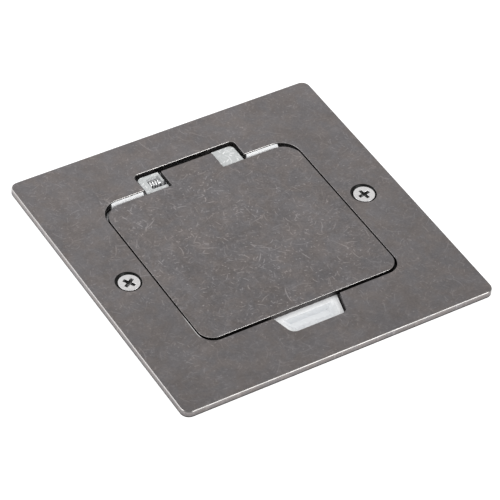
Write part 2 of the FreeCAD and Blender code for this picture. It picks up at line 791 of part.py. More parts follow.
def make_socket_back():
    """The rear moulding: a plate with a tower round each clip and an open well round each terminal."""
    back_places = (-socket_half, socket_half, socket_shell_front, socket_shell_back)
    back = block(*back_places, socket_back_bottom, socket_front_bottom)
    cuts = []
    strap_half = strap_width / 2 + tower_gap
    strap_top = socket_front_bottom + strap_thick + tower_gap
    well_inner = terminal_side / 2 + terminal_gap
    well_outer = well_inner + terminal_wall
    wire_z = terminal_bottom + terminal_wall + terminal_wire_depth
    mouth_half = wire_hole_radius + terminal_gap
    for name, (x, y, along_y, terminal_x) in contact_places().items():
        across, along = tower_inner(slot_long_of(name))
        inner_x, inner_y = (across, along) if along_y else (along, across)
        outer_x = inner_x + tower_wall
        outer_y = inner_y + tower_wall
        tower = block(x - outer_x, x + outer_x, y - outer_y, y + outer_y, socket_front_bottom, tower_top)
        well = prism(centred_rectangle(2 * well_outer, 2 * well_outer), terminal_bottom, socket_back_bottom)
        well.translate(point(terminal_x, y, 0))
        back = back.multiFuse([tower, well])
        hollow = prism(centred_rectangle(2 * inner_x, 2 * inner_y), socket_front_bottom, tower_top + past)
        hollow.translate(point(x, y, 0))
        cuts.append(hollow)
        low, high = sorted((x, terminal_x))
        cuts.append(block(low, high, y - strap_half, y + strap_half, socket_front_bottom, strap_top))
        room_outline = centred_rectangle(2 * well_inner, 2 * well_inner)
        room = prism(room_outline, terminal_bottom - past, socket_front_bottom)
        room.translate(point(terminal_x, y, 0))
        cuts.append(room)
        mouth_places = (terminal_x - mouth_half, terminal_x + mouth_half, y - 2 * well_outer, y)
        cuts.append(block(*mouth_places, wire_z - mouth_half, wire_z + mouth_half))
    hole_radius = case_screw_radius + hole_gap
    for x, y in case_screw_places():
        cuts.append(upright_rod(x, y, socket_back_bottom - past, socket_front_bottom + past, hole_radius))
    for cut in cuts:
        back = back.cut(cut)
    return back.removeSplitter()


def make_case_screws():
    """Two slotted screws up through the rear moulding into the face moulding's bosses."""
    screws = []
    head_top = socket_back_bottom
    head_foot = head_top - case_screw_head_height
    end = socket_front_bottom + case_screw_length - hole_gap
    slot_outline = centred_rectangle(2 * case_screw_head, recess_width)
    for x, y in case_screw_places():
        shank = upright_rod(x, y, head_top, end, case_screw_radius)
        head = upright_rod(x, y, head_foot, head_top, case_screw_head)
        slot = prism(slot_outline, head_foot - past, head_foot + recess_width)
        slot.translate(point(x, y, 0))
        screws.append(shank.fuse(head).cut(slot).removeSplitter())
    return Part.makeCompound(screws)


def make_back_box():
    """A pressed steel box with a knockout blank in two walls and the cable's hole in the back one."""
    outer = box_side / 2
    inner = box_inner_half
    box = prism(rectangle(-outer, outer, -outer, outer, box_corner), box_bottom, box_rim)
    box = box.makeChamfer(box_base_chamfer, edges_at(box, box_bottom))
    inner_outline = rectangle(-inner, inner, -inner, inner, box_corner - box_wall)
    box = box.cut(prism(inner_outline, box_bottom + box_wall, box_rim))
    knock_z = box_rim - knockout_below_rim
    for outward in (point(1, 0, 0), point(-1, 0, 0)):
        along = point(-outward.y, outward.x, 0)
        centre = outward * (outer - knockout_press) + along * knockout_offset + point(0, 0, knock_z)
        box = box.cut(Part.makeCylinder(knockout_radius, past, centre, outward))
    entry = grommet_bore_radius + grommet_wall + hole_gap
    box = box.cut(rod_along_y(knockout_offset, inner - past, outer + past, knock_z, entry))
    for x in (-base_hole_spacing / 2, base_hole_spacing / 2):
        box = box.cut(upright_rod(x, 0, box_bottom - past, box_bottom + box_wall + past, base_hole_radius))
    return box.removeSplitter()


def make_box_lugs():
    lugs = []
    hole_radius = screw_radius + thread_gap
    for side in (-1, 1):
        wall_x = side * box_inner_half
        inner_x = side * (screw_x - countersink_radius)
        low, high = sorted((wall_x, inner_x))
        tab = block(low, high, -tab_width / 2, tab_width / 2, box_rim - tab_thick, box_rim)
        leg_low, leg_high = sorted((wall_x, wall_x - side * tab_thick))
        leg = block(leg_low, leg_high, -tab_width / 2, tab_width / 2, box_rim - tab_leg, box_rim)
        hole = upright_rod(side * screw_x, 0, box_rim - tab_thick - past, box_rim + past, hole_radius)
        lugs.append(tab.fuse(leg).cut(hole).removeSplitter())
    return Part.makeCompound(lugs)


def make_cable_grommet():
    """A bush through the box's wall, with its hexagonal head against the outside."""
    wall_face = box_side / 2
    start = box_inner_half - grommet_reach
    end = wall_face + grommet_head_thick
    z = box_rim - knockout_below_rim
    body_radius = grommet_bore_radius + grommet_wall
    body = rod_along_y(knockout_offset, start, end, z, body_radius)
    reach = grommet_head_across / 2 / math.cos(math.pi / 6)
    corners = []
    for step in range(7):
        across = reach * math.sin(math.pi * step / 3)
        up = reach * math.cos(math.pi * step / 3)
        corners.append(point(knockout_offset + across, wall_face, z + up))
    head = Part.Face(Part.makePolygon(corners)).extrude(point(0, grommet_head_thick, 0))
    bore = rod_along_y(knockout_offset, start - past, end + past, z, grommet_bore_radius)
    return body.fuse(head).cut(bore).removeSplitter()


def make_box_earth_terminal():
    half = earth_block_side / 2
    foot = box_bottom + box_wall
    top = foot + earth_block_height
    x = earth_block_x
    y = earth_block_y
    wire_z = foot + earth_wire_height
    terminal = block(x - half, x + half, y - half, y + half, foot, top)
    wire_hole = rod_along_y(x, y - earth_block_side, y + earth_block_side, wire_z, wire_hole_radius)
    screw_hole = upright_rod(x, y, wire_z, top + past, grub_screw_radius + thread_gap)
    return terminal.cut(wire_hole).cut(screw_hole).removeSplitter()


def make_earth_terminal_screw():
    """Driven from above until it clamps the earth wire."""
    foot = box_bottom + box_wall
    wire_top = foot + earth_wire_height + wire_hole_radius
    return make_grub_screw(earth_block_x, earth_block_y, foot + earth_block_height, wire_top)


def save(name, shape):
    shape.exportStep("parts/" + name + ".step")
    verdict = "valid" if shape.isValid() else "NOT VALID"
    print(name, len(shape.Solids), "solids", round(shape.Volume, 1), "mm3", verdict)


os.makedirs("parts", exist_ok=True)
save("cover_plate", make_cover_plate())
save("plate_screws", make_plate_screws())
save("plate_gasket", make_plate_gasket())
save("lid_plate", make_lid_plate())
save("lid_hinge_leaf", make_lid_hinge_leaf())
save("lid_studs", make_lid_studs())
save("hinge_pin", make_hinge_pin())
save("torsion_spring", make_torsion_spring())
save("carrier_frame", make_carrier_frame())
save("socket_front", make_socket_front())
save("socket_back", make_socket_back())
save("shutter", make_shutter())
save("shutter_spring", make_shutter_spring())
for contact_name in contact_places():
    save(contact_name, make_contact(contact_name))
save("terminal_screws", make_terminal_screws())
save("case_screws", make_case_screws())
save("back_box", make_back_box())
save("box_lugs", make_box_lugs())
save("cable_grommet", make_cable_grommet())
save("box_earth_terminal", make_box_earth_terminal())
save("earth_terminal_screw", make_earth_terminal_screw())
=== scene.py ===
import bpy
import bmesh
import json
import math
from mathutils import Matrix, Vector


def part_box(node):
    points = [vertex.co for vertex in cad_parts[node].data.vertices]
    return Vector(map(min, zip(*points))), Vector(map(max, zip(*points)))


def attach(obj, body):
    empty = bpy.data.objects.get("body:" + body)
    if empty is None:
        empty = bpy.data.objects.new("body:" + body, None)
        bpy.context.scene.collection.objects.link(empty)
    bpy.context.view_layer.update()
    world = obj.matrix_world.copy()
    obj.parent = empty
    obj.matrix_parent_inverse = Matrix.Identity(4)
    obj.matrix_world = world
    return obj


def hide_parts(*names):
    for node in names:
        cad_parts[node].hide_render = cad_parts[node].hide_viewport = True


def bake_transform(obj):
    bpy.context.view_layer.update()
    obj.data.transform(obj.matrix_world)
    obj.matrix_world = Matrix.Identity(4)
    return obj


# Looks of a flush floor socket with a metal flip lid, on a pale floor. Blender works in metres, and sizes
# given in millimetres are multiplied by MM.

MM = 0.001
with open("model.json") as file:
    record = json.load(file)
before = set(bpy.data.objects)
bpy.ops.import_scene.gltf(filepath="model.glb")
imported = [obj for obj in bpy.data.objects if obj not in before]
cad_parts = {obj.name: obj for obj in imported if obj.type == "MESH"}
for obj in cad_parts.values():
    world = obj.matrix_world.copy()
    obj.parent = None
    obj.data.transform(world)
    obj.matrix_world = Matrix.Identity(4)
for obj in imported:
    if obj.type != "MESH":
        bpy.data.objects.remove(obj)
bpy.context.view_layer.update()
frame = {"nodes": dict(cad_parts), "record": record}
cad_nodes = frame["nodes"]
slot_of = {part["node"]: part["material_slot"] for part in frame["record"]["subparts"]}
body_of = {node: body for body, nodes in frame["record"]["behaviour"]["bodies"].items() for node in nodes}

# The camera, solved on the plate's four corners
CAMERA_AZIMUTH = math.radians(-34.677)
CAMERA_ELEVATION = math.radians(44.054)
CAMERA_ROLL = math.radians(4.921)
CAMERA_DISTANCE = 0.928479
CAMERA_TARGET = Vector((-3.078, -5.655, 2.5)) * MM
CAMERA_FOCAL_PIXELS = 2762.573
PHOTO_PIXELS = 500
SENSOR = 36.0


def make_camera():
    """The camera looks at the target, against the back direction, and is turned by the roll."""
    azimuth, elevation, roll = CAMERA_AZIMUTH, CAMERA_ELEVATION, CAMERA_ROLL
    back = Vector((
        math.sin(azimuth) * math.cos(elevation),
        -math.cos(azimuth) * math.cos(elevation),
        math.sin(elevation),
    ))
    level = Vector((math.cos(azimuth), math.sin(azimuth), 0))
    up = back.cross(level)
    right = math.cos(roll) * level + math.sin(roll) * up
    top = math.cos(roll) * up - math.sin(roll) * level
    data = bpy.data.cameras.new("photo_camera")
    data.sensor_width = SENSOR
    data.lens = CAMERA_FOCAL_PIXELS / PHOTO_PIXELS * SENSOR
    camera = bpy.data.objects.new("photo_camera", data)
    turn = Matrix((right, top, back)).transposed().to_4x4()
    camera.matrix_world = Matrix.Translation(CAMERA_TARGET + back * CAMERA_DISTANCE) @ turn
    bpy.context.collection.objects.link(camera)
    bpy.context.scene.camera = camera


# The Mix node's sockets are found by number, because their names repeat for each kind of data.
MIX_COLOURS_IN = (6, 7)
MIX_COLOUR_OUT = 2
MIX_VALUES_IN = (2, 3)
MIX_VALUE_OUT = 0


class Shader:
    """A material's node tree with short calls for the nodes that it needs."""

    def __init__(self, name):
        self.material = bpy.data.materials.new(name)
        self.material.use_nodes = True
        self.tree = self.material.node_tree
        self.surface = self.tree.nodes["Principled BSDF"]
        self.output = self.tree.nodes["Material Output"]

    def node(self, kind, settings=None, **inputs):
        made = self.tree.nodes.new("ShaderNode" + kind)
        for name, value in (settings or {}).items():
            setattr(made, name, value)
        for name, value in inputs.items():
            self.feed(made.inputs[name.replace("_", " ")], value)
        return made

    def feed(self, socket, value):
        if isinstance(value, bpy.types.NodeSocket):
            self.tree.links.new(value, socket)
        else:
            socket.default_value = value

    def set(self, **inputs):
        for name, value in inputs.items():
            self.feed(self.surface.inputs[name.replace("_", " ")], value)

    def math(self, operation, first, second=0.0, clamp=False):
        made = self.node("Math", {"operation": operation, "use_clamp": clamp})
        self.feed(made.inputs[0], first)
        self.feed(made.inputs[1], second)
        return made.outputs[0]

    def add(self, first, second):
        return self.math("ADD", first, second)

    def subtract(self, first, second):
        return self.math("SUBTRACT", first, second)

    def multiply(self, first, second):
        return self.math("MULTIPLY", first, second)

    def larger(self, first, second):
        return self.math("MAXIMUM", first, second)

    def absolute(self, value):
        return self.math("ABSOLUTE", value)

    def less(self, first, second):
        """1 where the first is less than the second, and 0 elsewhere."""
        return self.math("LESS_THAN", first, second)

    def more(self, first, second):
        """1 where the first is more than the second, and 0 elsewhere."""
        return self.math("GREATER_THAN", first, second)

    def length(self, across, along):
        """The length of the line that goes this far across and along."""
        square = self.add(self.multiply(across, across), self.multiply(along, along))
        return self.math("SQRT", square)

    def place(self, shift=(0, 0, 0)):
        """The point on the piece in millimetres, moved by the shift."""
        coordinates = self.node("TexCoord").outputs["Object"]
        mapping = self.node("Mapping", Vector=coordinates, Scale=[1 / MM] * 3, Location=shift)
        return mapping.outputs["Vector"]

    def point(self):
        """The point's X, Y and Z in metres, in the piece's own frame, so they stay true when it turns."""
        return self.node("SeparateXYZ", Vector=self.node("TexCoord").outputs["Object"]).outputs

    def normal(self):
        """The surface's direction as X, Y and Z in the piece's own frame."""
        return self.node("SeparateXYZ", Vector=self.node("TexCoord").outputs["Normal"]).outputs

    def noise(self, size, detail=3.0, roughness=0.6, distortion=0.0, shift=(0, 0, 0)):
        """Noise whose features are about this many millimetres across, from 0 to 1."""
        made = self.node("TexNoise", Vector=self.place(shift), Scale=1 / size, Detail=detail)
        self.feed(made.inputs["Roughness"], roughness)
        self.feed(made.inputs["Distortion"], distortion)
        return made.outputs["Fac"]

    def cells(self, size, vector):
        """Flat cells of about this many millimetres, each with its own place and its own random colour."""
        return self.node("TexVoronoi", {"voronoi_dimensions": "2D"}, Vector=vector, Scale=1 / size).outputs

    def ramp(self, value, low, high, to_low=0.0, to_high=1.0, smooth=True):
        """The value carried from one range to another and held at its ends."""
        kind = "SMOOTHSTEP" if smooth else "LINEAR"
        made = self.node("MapRange", {"interpolation_type": kind}, Value=value, From_Min=low, From_Max=high)
        self.feed(made.inputs["To Min"], to_low)
        self.feed(made.inputs["To Max"], to_high)
        return made.outputs["Result"]

    def mix(self, factor, first, second):
        """The first colour where the factor is 0 and the second where it is 1."""
        made = self.node("Mix", {"data_type": "RGBA"}, Factor=factor)
        for number, shade in zip(MIX_COLOURS_IN, (first, second)):
            self.feed(made.inputs[number], shade)
        return made.outputs[MIX_COLOUR_OUT]

    def bump(self, height, strength, distance):
        made = self.node("Bump", Height=height, Strength=strength, Distance=distance * MM)
        return made.outputs["Normal"]


def colour(red, green, blue):
    return (red, green, blue, 1.0)


def grey(value):
    return colour(value, value, value)


def darker(tone, share):
    return colour(*[part * share for part in tone])


# Where noise has nearly all its values
NOISE_LOW = 0.3
NOISE_HIGH = 0.7


def strokes(shader, cell, length, width, share, seed):
    """Short curved strokes, at most one to a cell, each with its own direction, bend and strength.

    The cell, length and width are in millimetres, and share is how many of the cells hold a stroke.
    """
    spot = shader.place(shift=(seed, 2 * seed, 0))
    cells = shader.cells(cell, spot)
    turn_chance, bend_chance, strength_chance = shader.node("SeparateColor", Color=cells["Color"]).outputs
    offset = shader.node("VectorMath", {"operation": "SUBTRACT"})
    shader.feed(offset.inputs[0], spot)
    shader.feed(offset.inputs[1], cells["Position"])
    angle = shader.multiply(turn_chance, 2 * math.pi)
    turned = shader.node("VectorRotate", {"rotation_type": "Z_AXIS"}, Vector=offset.outputs[0], Angle=angle)
    parts = shader.node("SeparateXYZ", Vector=turned.outputs[0]).outputs
    most_bend = 0.8 / length
    bend = shader.multiply(shader.subtract(bend_chance, 0.5), 2 * most_bend)
    arch = shader.multiply(shader.multiply(parts["X"], parts["X"]), bend)
    off_line = shader.absolute(shader.subtract(parts["Y"], arch))
    line = shader.ramp(off_line, width * 0.3, width, 1.0, 0.0)
    ends = shader.ramp(shader.absolute(parts["X"]), length * 0.2, length / 2, 1.0, 0.0)
    strength = shader.ramp(strength_chance, 1 - share, 1.0)
    return shader.multiply(shader.multiply(line, ends), strength)


# The lid and its aperture have tighter front corners in the photo than the solids have: per node, the arc's
# radius and the place of its two centres, X either way and Y, in millimetres.
FRONT_CORNERS = {"lid_plate": (7.0, 31.1, -28.55), "cover_plate": (7.45, 31.1, -29.3)}
CORNER_TIGHTER_BY = 1.7

# Places on the plate and the lid, in millimetres
PLATE_HALF = 60.0
LID_HALF = 38.2  # the marks are stronger inside this square, which the lid nearly fills
OUTER_WALL = 57.0  # farther out than this, every wall is one of the plate's outer sides
NOTCH_Y = -36.9  # in front of this, every inner wall is the finger notch's
SCREW_X = 46.5
INNER_RIM = 0.09  # how far down the line of wear and painted highlight along a wall's top reaches
OUTER_RIM = 0.26

# The aged metal's strokes, in layers from long to short: cell, length, width, share and seed
PEWTER_STROKES = (
    (10.0, 9.0, 0.30, 0.45, 31.0),
    (6.0, 5.5, 0.26, 0.65, 7.0),
    (3.6, 3.2, 0.26, 0.70, 57.0),
    (2.4, 1.8, 0.28, 0.60, 83.0),
    (1.5, 0.9, 0.28, 0.45, 19.0),
)
FLECK_CELL = 3.0

# The aged metal's brightness, as a share of its base colour, and what each pattern adds or takes. On the
# plate the patterns are drawn towards the mean.
BRIGHTNESS = 0.88
MEAN_BRIGHTNESS = 0.91
CLOUDS_BY = 0.06
PATCHES_BY = 0.08
GRAIN_BY = 0.09
SMUDGES_BY = 0.16
MARKS_BY = 0.62
FLECKS_BY = 0.55

BLUISH = colour(0.207, 0.196, 0.200)
BROWNISH = colour(0.214, 0.193, 0.187)

# Painted light and shade on each wall, as a share of the top's colour: shade in the gaps, the countersinks
# and on the lid's front wall, light on the notch's side wall and the outer sides, and a painted shadow at
# their foot
GAP_WALL_PAINTED_SHADE = grey(0.36)
COUNTERSINK_PAINTED_SHADE = grey(0.06)
NOTCH_SIDE_PAINTED_LIGHT = grey(1.1)
LID_FRONT_PAINTED_SHADE = grey(0.55)
OUTER_WALL_TOP_PAINTED_LIGHT = grey(1.5)
OUTER_WALL_MIDDLE_PAINTED_LIGHT = grey(1.1)
OUTER_WALL_FOOT_PAINTED_SHADOW = grey(0.22)

# The line of wear along a wall's top, with painted highlight or painted shade by the way that the wall faces
GAP_RIM_PAINTED_LIGHT = colour(0.25, 0.24, 0.24)
GAP_LEFT_RIM_PAINTED_LIGHT = colour(0.55, 0.54, 0.53)
GAP_FRONT_RIM_PAINTED_LIGHT = colour(0.35, 0.34, 0.33)
OUTER_SIDE_RIM_PAINTED_LIGHT = colour(0.60, 0.58, 0.57)
OUTER_FRONT_RIM_PAINTED_LIGHT = colour(0.175, 0.17, 0.165)

# A painted highlight streak lies this far out from the aperture's edge. The painted shade round a screw,
# where the head stands off centre in its countersink, is a disc that is shifted from the screw's centre, in
# millimetres.
STREAK_OUT = 0.14
HIGHLIGHT_STREAK_COLOUR = colour(0.66, 0.65, 0.64)
SCREW_SHADE_RADIUS = 4.58
SCREW_SHADE_SHIFT = (-0.14, 0.30)
SCREW_SHADE_BLUR = 0.06
SCREW_SHADE_COLOUR = grey(0.012)


def light_marks(shader):
    """Fine light strokes, denser in some places than in others."""
    layers = [strokes(shader, *row) for row in PEWTER_STROKES]
    marks = layers[0]
    for layer in layers[1:]:
        marks = shader.larger(marks, layer)
    dense = shader.noise(11.0, detail=2.0, roughness=0.5, shift=(17, 5, 0))
    return shader.multiply(marks, shader.ramp(dense, 0.36, 0.62, 0.35, 1.0))


def light_flecks(shader):
    """Small light specks, at most one to a cell."""
    cells = shader.cells(FLECK_CELL, shader.place())
    fleck = shader.ramp(cells["Distance"], 0.05, 0.13, 1.0, 0.0)
    rare = shader.node("SeparateColor", Color=cells["Color"]).outputs[0]
    return shader.multiply(fleck, shader.ramp(rare, 0.70, 1.0))


def aperture_painted_highlight(shader, point):
    """A painted highlight streak on the plate: beside the aperture's left edge and into its front left
    corner.
    """
    radius, centre_x, centre_y = FRONT_CORNERS["cover_plate"]
    centre_x += CORNER_TIGHTER_BY
    centre_y -= CORNER_TIGHTER_BY
    radius -= CORNER_TIGHTER_BY
    across = shader.larger(shader.subtract(-centre_x * MM, point["X"]), 0.0)
    beyond = shader.larger(shader.subtract(centre_y * MM, point["Y"]), 0.0)
    off_line = shader.subtract(shader.length(across, beyond), (radius + STREAK_OUT) * MM)
    line = shader.ramp(shader.absolute(off_line), 0.10 * MM, 0.26 * MM, 1.0, 0.0)
    from_back = shader.ramp(point["Y"], -20.0 * MM, -25.0 * MM)
    to_front = shader.ramp(point["Y"], -33.6 * MM, -32.6 * MM)
    return shader.multiply(line, shader.multiply(from_back, to_front))


def screw_painted_shade(shader, point):
    """A painted shade crescent on the plate, at the back left of each screw's countersink, where the head
    stands off centre.
    """
    middle = shader.multiply(shader.math("SIGN", point["X"]), SCREW_X * MM)
    across = shader.subtract(shader.subtract(point["X"], middle), SCREW_SHADE_SHIFT[0] * MM)
    along = shader.subtract(point["Y"], SCREW_SHADE_SHIFT[1] * MM)
    inner, outer = (SCREW_SHADE_RADIUS - SCREW_SHADE_BLUR) * MM, (SCREW_SHADE_RADIUS + SCREW_SHADE_BLUR) * MM
    return shader.ramp(shader.length(across, along), inner, outer, 1.0, 0.0)


def painted_wall_light_and_shade(shader, point, normal, depth, outside):
    """Painted light and shade on the walls: lit round the plate with a painted shadow at its foot, shaded in
    the gaps and darkest in the countersinks.
    """
    countersunk = shader.ramp(normal["Z"], 0.4, 0.6)
    inner = shader.mix(countersunk, GAP_WALL_PAINTED_SHADE, COUNTERSINK_PAINTED_SHADE)
    notch_side = shader.multiply(shader.ramp(normal["X"], -0.4, -0.7), shader.less(point["Y"], NOTCH_Y * MM))
    inner = shader.mix(notch_side, inner, NOTCH_SIDE_PAINTED_LIGHT)
    lid_front = shader.multiply(shader.ramp(normal["Y"], -0.8, -0.9), shader.less(point["Y"], 0.0))
    inner = shader.mix(lid_front, inner, LID_FRONT_PAINTED_SHADE)
    outer = shader.mix(shader.ramp(depth, 0.3 * MM, 2.0 * MM), OUTER_WALL_TOP_PAINTED_LIGHT, OUTER_WALL_MIDDLE_PAINTED_LIGHT)
    outer = shader.mix(shader.ramp(depth, 1.95 * MM, 2.15 * MM), outer, OUTER_WALL_FOOT_PAINTED_SHADOW)
    return shader.mix(outside, inner, outer)


def rim_wear_and_painted_light(shader, point, normal, outside):
    """The thin line of wear along the top of each wall, with painted highlight or painted shade by the way
    that it faces.
    """
    to_front = shader.ramp(normal["Y"], -0.15, -0.45)
    left_rim = shader.multiply(shader.ramp(normal["X"], 0.3, 0.6), shader.less(point["X"], 0.0))
    inner = shader.mix(left_rim, GAP_RIM_PAINTED_LIGHT, GAP_LEFT_RIM_PAINTED_LIGHT)
    inner = shader.mix(to_front, inner, GAP_FRONT_RIM_PAINTED_LIGHT)
    outer = shader.mix(to_front, OUTER_SIDE_RIM_PAINTED_LIGHT, OUTER_FRONT_RIM_PAINTED_LIGHT)
    return shader.mix(outside, inner, outer)


def pewter():
    """Aged metal: grey with brown and blue patches, fine light strokes, flecks and bright rubbed edges, with
    painted light and shade: lighter to the back, on the walls and their tops, by the aperture and round the
    screws.
    """
    shader = Shader("pewter")
    point = shader.point()
    normal = shader.normal()
    far = shader.larger(shader.absolute(point["X"]), shader.absolute(point["Y"]))
    outside = shader.more(far, OUTER_WALL * MM)

    warmth = shader.ramp(shader.noise(7.0, distortion=0.3, shift=(40, 13, 5)), 0.34, 0.66)
    tone = shader.mix(warmth, BLUISH, BROWNISH)
    clouds = shader.noise(16.0, roughness=0.5)
    patches = shader.noise(5.0, detail=4.0, distortion=0.6, shift=(3, 71, 0))
    grain = shader.noise(0.8, roughness=0.7)
    smudges = shader.ramp(shader.noise(2.2, distortion=0.8, shift=(9, 28, 0)), 0.52, 0.70)
    lid_edge, plate_edge = LID_HALF * MM, (LID_HALF + 0.3) * MM
    wear = shader.ramp(far, lid_edge, plate_edge, 1.08, 0.55)
    calm = shader.ramp(far, lid_edge, plate_edge, 1.0, 0.75)
    marks = shader.multiply(light_marks(shader), wear)
    flecks = shader.multiply(light_flecks(shader), wear)

    value = BRIGHTNESS
    for pattern, reach in ((clouds, CLOUDS_BY), (patches, PATCHES_BY), (grain, GRAIN_BY)):
        value = shader.add(value, shader.ramp(pattern, NOISE_LOW, NOISE_HIGH, -reach, reach))
    value = shader.add(value, shader.multiply(smudges, SMUDGES_BY))
    value = shader.multiply(shader.subtract(value, MEAN_BRIGHTNESS), calm)
    value = shader.add(value, MEAN_BRIGHTNESS)
    value = shader.add(value, shader.multiply(marks, MARKS_BY))
    value = shader.add(value, shader.multiply(flecks, FLECKS_BY))
    # Painted light: the metal's colour grows from darker at the front to lighter at the back, standing in for
    # the studio's reflection.
    painted_light_to_back = shader.ramp(point["Y"], -PLATE_HALF * MM, PLATE_HALF * MM, 0.87, 1.07, smooth=False)
    value = shader.multiply(value, painted_light_to_back)

    depth = shader.subtract(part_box("cover_plate")[1].z, point["Z"])
    not_top = shader.ramp(normal["Z"], 0.75, 0.92, 1.0, 0.0)
    not_underside = shader.ramp(normal["Z"], -0.7, -0.3)
    side = shader.multiply(not_top, not_underside)
    # The line along each wall's top: wear, which also makes it glossier, and a painted highlight or shade by
    # the way it faces.
    below_rim = shader.more(depth, shader.ramp(outside, 0.0, 1.0, INNER_RIM * MM, OUTER_RIM * MM))
    wall = shader.multiply(side, below_rim)
    wear_and_painted_highlight = shader.multiply(side, shader.subtract(1.0, below_rim))

    # The walls take the top's colour times their painted light and shade.
    top = shader.node("VectorMath", {"operation": "SCALE"}, Vector=tone, Scale=value).outputs[0]
    painted_walls = shader.node("VectorMath", {"operation": "MULTIPLY"}, Vector=top)
    shader.feed(painted_walls.inputs[1], painted_wall_light_and_shade(shader, point, normal, depth, outside))
    face = shader.mix(wall, top, painted_walls.outputs[0])
    face = shader.mix(wear_and_painted_highlight, face, rim_wear_and_painted_light(shader, point, normal, outside))
    # A painted highlight along the aperture's left edge and into its front left corner.
    face = shader.mix(aperture_painted_highlight(shader, point), face, HIGHLIGHT_STREAK_COLOUR)
    # Painted shade round the back left of each screw's countersink.
    face = shader.mix(screw_painted_shade(shader, point), face, SCREW_SHADE_COLOUR)
    roughness = shader.ramp(patches, NOISE_LOW, NOISE_HIGH, 0.36, 0.48)
    roughness = shader.subtract(roughness, shader.multiply(wear_and_painted_highlight, 0.14))
    relief = shader.add(shader.multiply(grain, 0.5), shader.multiply(marks, 0.5))
    shader.set(Base_Color=face, Metallic=1.0, Roughness=roughness)
    shader.set(Normal=shader.bump(relief, 0.25, 0.02))
    return shader.material


def plain_metal(name, tone, rough, grain_size, grain_depth=0.08):
    """A clean metal with a fine grain in its colour, gloss and relief, and faint stains."""
    shader = Shader(name)
    grain = shader.noise(grain_size)
    stain = shader.noise(grain_size * 9)
    dark = darker(tone, 1 - 2 * grain_depth)
    shade = shader.mix(shader.ramp(grain, NOISE_LOW, NOISE_HIGH), dark, colour(*tone))
    shade = shader.mix(shader.ramp(stain, 0.35, NOISE_HIGH, 0.0, 0.25), shade, dark)
    roughness = shader.ramp(grain, NOISE_LOW, NOISE_HIGH, rough * 0.8, rough * 1.2)
    shader.set(Base_Color=shade, Metallic=1.0, Roughness=roughness)
    shader.set(Normal=shader.bump(grain, 0.2, grain_size * 0.03))
    return shader.material


def screw_nickel():
    """Bright nickel with a few scuffs, painted dark as shade down in the cross recess and under the head."""
    shader = Shader("screw_nickel")
    grain = shader.noise(0.35)
    scuff = strokes(shader, cell=1.6, length=1.8, width=0.10, share=0.8, seed=5.0)
    bright = shader.mix(
        shader.ramp(grain, NOISE_LOW, NOISE_HIGH), colour(0.64, 0.63, 0.63), colour(0.78, 0.77, 0.77),
    )
    bright = shader.mix(shader.multiply(scuff, 0.5), bright, grey(0.42))
    depth = shader.subtract(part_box("plate_screws")[1].z, shader.point()["Z"])
    # Painted shade: the cross recess and everything below the head's face are painted dark.
    sunk = shader.ramp(depth, 0.03 * MM, 0.12 * MM)
    shader.set(Base_Color=shader.mix(sunk, bright, grey(0.22)), Metallic=1.0)
    shader.set(Roughness=shader.ramp(grain, NOISE_LOW, NOISE_HIGH, 0.24, 0.38))
    shader.set(Normal=shader.bump(grain, 0.15, 0.01))
    return shader.material


def galvanised():
    """Zinc spangle: crystal flakes that differ in tone and gloss."""
    shader = Shader("galvanised")
    spangle = shader.node("TexVoronoi", Vector=shader.place(), Scale=1 / 3.5)
    flake = shader.node("SeparateColor", Color=spangle.outputs["Color"]).outputs[0]
    grain = shader.noise(0.5)
    tone = shader.mix(flake, colour(0.48, 0.50, 0.52), colour(0.66, 0.68, 0.70))
    tone = shader.mix(shader.ramp(grain, NOISE_LOW, NOISE_HIGH, 0.0, 0.25), tone, grey(0.4))
    shader.set(Base_Color=tone, Metallic=1.0, Roughness=shader.ramp(flake, 0.0, 1.0, 0.30, 0.48))
    shader.set(Normal=shader.bump(grain, 0.2, 0.015))
    return shader.material


# The hinge lugs lie within this X and behind this Y, and the finger dish in front of this Y, in millimetres.
LUGS_X = 20.0
LUGS_Y = 33.7
DISH_Y = -36.0


def scraped_lugs(shader, shade):
    """The shade with the tops of the hinge lugs dulled, and scraped by the lid's tongue."""
    scrape = strokes(shader, cell=1.5, length=3.0, width=0.36, share=0.9, seed=43.0)
    point = shader.point()
    near = shader.less(shader.absolute(point["X"]), LUGS_X * MM)
    at_hinge = shader.multiply(near, shader.ramp(point["Y"], LUGS_Y * MM, (LUGS_Y + 1.5) * MM))
    at_hinge = shader.multiply(at_hinge, shader.ramp(point["Z"], 0.2 * MM, 1.1 * MM))
    return shader.mix(at_hinge, shade, shader.mix(scrape, colour(0.60, 0.62, 0.62), colour(0.92, 0.93, 0.93)))


def dish_painted_shade(shader, shade):
    """The colour with painted shade in the finger dish: darker on its slopes and down inside."""
    point = shader.point()
    steep = shader.ramp(shader.normal()["Z"], 0.5, 0.95, 1.0, 0.0)
    down = shader.ramp(point["Z"], 0.4 * MM, -1.5 * MM)
    dish_shade_mask = shader.add(shader.multiply(steep, 0.5), shader.multiply(down, 0.5))
    dish_shade_mask = shader.multiply(dish_shade_mask, shader.less(point["Y"], DISH_Y * MM))
    # Painted shade: the dish's slopes and deep parts are darkened.
    return shader.mix(dish_shade_mask, shade, colour(0.71, 0.73, 0.75))


